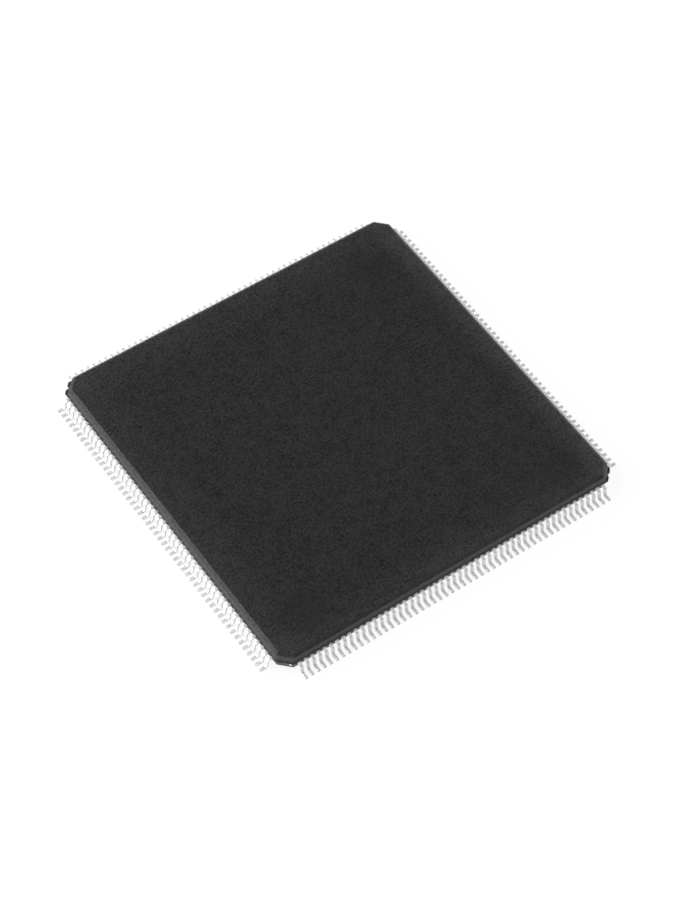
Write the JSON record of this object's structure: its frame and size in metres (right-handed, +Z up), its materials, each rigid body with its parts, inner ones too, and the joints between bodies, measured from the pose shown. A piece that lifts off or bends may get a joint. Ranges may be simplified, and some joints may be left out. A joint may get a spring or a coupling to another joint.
{
  "type": "quad flat pack chip",
  "caption": "Low-profile square surface-mount chip package: thin moulded body with bevelled top edge and chamfered corners on fine-pitch gull-wing leads.",
  "frame": {"origin": "middle of the body, on the seating plane that the undersides of the lead feet lie in", "axes": "+Z up out of the board, +X and +Y square to the sides of the body, front is -Y; all four rows have the same number of leads"},
  "size_m": [0.03, 0.03, 0.0015],
  "materials": {
    "mould_compound": "finely grained charcoal epoxy mould compound",
    "tinned_lead": "bright matte tin plating",
    "lead_frame": "bare copper alloy sheet",
    "silver_epoxy": "cured silver-filled epoxy",
    "silicon": "polished silicon",
    "polyimide": "amber polyimide tape",
    "bond_wire": "bright gold wire"
  },
  "bodies": {
    "root": {"body": "mould_compound", "die_pad": "lead_frame", "die_attach": "silver_epoxy", "die": "silicon", "finger_tape": "polyimide", "leads_front": "tinned_lead", "leads_right": "tinned_lead", "leads_back": "tinned_lead", "leads_left": "tinned_lead", "wires_front": "bond_wire", "wires_right": "bond_wire", "wires_back": "bond_wire", "wires_left": "bond_wire"}
  },
  "joints": []
}
